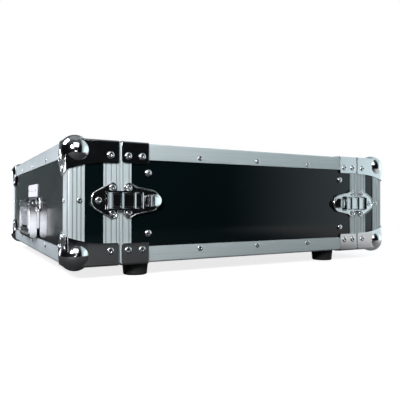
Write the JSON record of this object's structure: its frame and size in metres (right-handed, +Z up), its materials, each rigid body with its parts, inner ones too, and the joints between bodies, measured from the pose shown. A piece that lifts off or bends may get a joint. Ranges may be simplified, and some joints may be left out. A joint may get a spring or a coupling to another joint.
{
  "type": "rack flight case",
  "caption": "Low rectangular equipment case with black laminated panels, aluminium edges, ball corners, twist latches, lift-off lids at both ends, a drop handle and rubber feet.",
  "frame": {"origin": "bottom centre of the whole object's box, on the plane the feet stand on", "axes": "+Z up, +X across the rack opening, -Y out of the front lid, +Y out of the rear lid"},
  "size_m": [0.549, 0.585, 0.1847],
  "materials": {
    "black_laminate": "gloss laminate on plywood",
    "edge_extrusion": "satin anodised, drawn lengthwise",
    "chrome": "polished plate on pressed steel",
    "rail_steel": "black zinc",
    "foot_rubber": "matt moulded",
    "badge": "satin"
  },
  "bodies": {
    "case": {"body_sleeve": "black_laminate", "body_valance_front": "edge_extrusion", "body_valance_rear": "edge_extrusion", "edge_extrusion_top_left": "edge_extrusion", "edge_extrusion_top_right": "edge_extrusion", "edge_extrusion_bottom_left": "edge_extrusion", "edge_extrusion_bottom_right": "edge_extrusion", "body_brace_front_top_left": "chrome", "body_brace_front_top_right": "chrome", "body_brace_front_bottom_left": "chrome", "body_brace_front_bottom_right": "chrome", "body_brace_rear_top_left": "chrome", "body_brace_rear_top_right": "chrome", "body_brace_rear_bottom_left": "chrome", "body_brace_rear_bottom_right": "chrome", "rack_rail_front_left": "rail_steel", "rack_rail_front_right": "rail_steel", "rack_rail_rear_left": "rail_steel", "rack_rail_rear_right": "rail_steel", "foot_front_left": "foot_rubber", "foot_front_right": "foot_rubber", "foot_rear_left": "foot_rubber", "foot_rear_right": "foot_rubber", "latch_base_front_left": "chrome", "latch_base_front_right": "chrome", "latch_base_rear_left": "chrome", "latch_base_rear_right": "chrome"},
    "front_lid": {"front_lid_shell": "black_laminate", "front_lid_edging": "edge_extrusion", "front_lid_valance": "edge_extrusion", "ball_corner_front_top_left": "chrome", "ball_corner_front_top_right": "chrome", "ball_corner_front_bottom_left": "chrome", "ball_corner_front_bottom_right": "chrome", "latch_keeper_front_left": "chrome", "latch_keeper_front_right": "chrome", "handle_bracket": "chrome", "badge_plate": "badge"},
    "rear_lid": {"rear_lid_shell": "black_laminate", "rear_lid_edging": "edge_extrusion", "rear_lid_valance": "edge_extrusion", "ball_corner_rear_top_left": "chrome", "ball_corner_rear_top_right": "chrome", "ball_corner_rear_bottom_left": "chrome", "ball_corner_rear_bottom_right": "chrome", "latch_keeper_rear_left": "chrome", "latch_keeper_rear_right": "chrome"},
    "handle": {"handle_bail": "chrome"},
    "hook_front_left": {"latch_hook_front_left": "chrome"},
    "hub_front_left": {"latch_hub_front_left": "chrome"},
    "wing_front_left": {"latch_wing_front_left": "chrome"},
    "hook_front_right": {"latch_hook_front_right": "chrome"},
    "hub_front_right": {"latch_hub_front_right": "chrome"},
    "wing_front_right": {"latch_wing_front_right": "chrome"},
    "hook_rear_left": {"latch_hook_rear_left": "chrome"},
    "hub_rear_left": {"latch_hub_rear_left": "chrome"},
    "wing_rear_left": {"latch_wing_rear_left": "chrome"},
    "hook_rear_right": {"latch_hook_rear_right": "chrome"},
    "hub_rear_right": {"latch_hub_rear_right": "chrome"},
    "wing_rear_right": {"latch_wing_rear_right": "chrome"}
  },
  "joints": [
    {"name": "front_lid_pull", "type": "slide", "parent": "case", "child": "front_lid", "axis": [0, -1, 0], "range_m": [0, 0.25]},
    {"name": "rear_lid_pull", "type": "slide", "parent": "case", "child": "rear_lid", "axis": [0, 1, 0], "range_m": [0, 0.25]},
    {"name": "handle_swing", "type": "hinge", "parent": "front_lid", "child": "handle", "pos_m": [-0.0075, -0.2856, 0.097], "axis": [-1, 0, 0], "range_deg": [0, 95]},
    {"name": "twist_front_left", "type": "hinge", "parent": "case", "child": "hub_front_left", "pos_m": [-0.2665, -0.1706, 0.1013], "axis": [-1, 0, 0], "range_deg": [0, 180]},
    {"name": "fold_front_left", "type": "hinge", "parent": "hub_front_left", "child": "wing_front_left", "pos_m": [-0.2725, -0.1706, 0.1013], "axis": [0, 0, 1], "range_deg": [0, 90]},
    {"name": "draw_front_left", "type": "slide", "parent": "case", "child": "hook_front_left", "axis": [0, -1, 0], "range_m": [0, 0.008]},
    {"name": "twist_front_right", "type": "hinge", "parent": "case", "child": "hub_front_right", "pos_m": [0.2665, -0.1706, 0.1013], "axis": [1, 0, 0], "range_deg": [0, 180]},
    {"name": "fold_front_right", "type": "hinge", "parent": "hub_front_right", "child": "wing_front_right", "pos_m": [0.2725, -0.1706, 0.1013], "axis": [0, 0, -1], "range_deg": [0, 90]},
    {"name": "draw_front_right", "type": "slide", "parent": "case", "child": "hook_front_right", "axis": [0, -1, 0], "range_m": [0, 0.008]},
    {"name": "twist_rear_left", "type": "hinge", "parent": "case", "child": "hub_rear_left", "pos_m": [-0.2665, 0.1824, 0.098], "axis": [-1, 0, 0], "range_deg": [0, 180]},
    {"name": "fold_rear_left", "type": "hinge", "parent": "hub_rear_left", "child": "wing_rear_left", "pos_m": [-0.2725, 0.1824, 0.098], "axis": [0, 0, -1], "range_deg": [0, 90]},
    {"name": "draw_rear_left", "type": "slide", "parent": "case", "child": "hook_rear_left", "axis": [0, 1, 0], "range_m": [0, 0.008]},
    {"name": "twist_rear_right", "type": "hinge", "parent": "case", "child": "hub_rear_right", "pos_m": [0.2665, 0.1824, 0.098], "axis": [1, 0, 0], "range_deg": [0, 180]},
    {"name": "fold_rear_right", "type": "hinge", "parent": "hub_rear_right", "child": "wing_rear_right", "pos_m": [0.2725, 0.1824, 0.098], "axis": [0, 0, 1], "range_deg": [0, 90]},
    {"name": "draw_rear_right", "type": "slide", "parent": "case", "child": "hook_rear_right", "axis": [0, 1, 0], "range_m": [0, 0.008]}
  ],
  "couplings": [
    {"joint": "draw_front_left", "follows": "twist_front_left", "m_per_rad": 0.002546},
    {"joint": "draw_front_right", "follows": "twist_front_right", "m_per_rad": 0.002546},
    {"joint": "draw_rear_left", "follows": "twist_rear_left", "m_per_rad": 0.002546},
    {"joint": "draw_rear_right", "follows": "twist_rear_right", "m_per_rad": 0.002546}
  ]
}
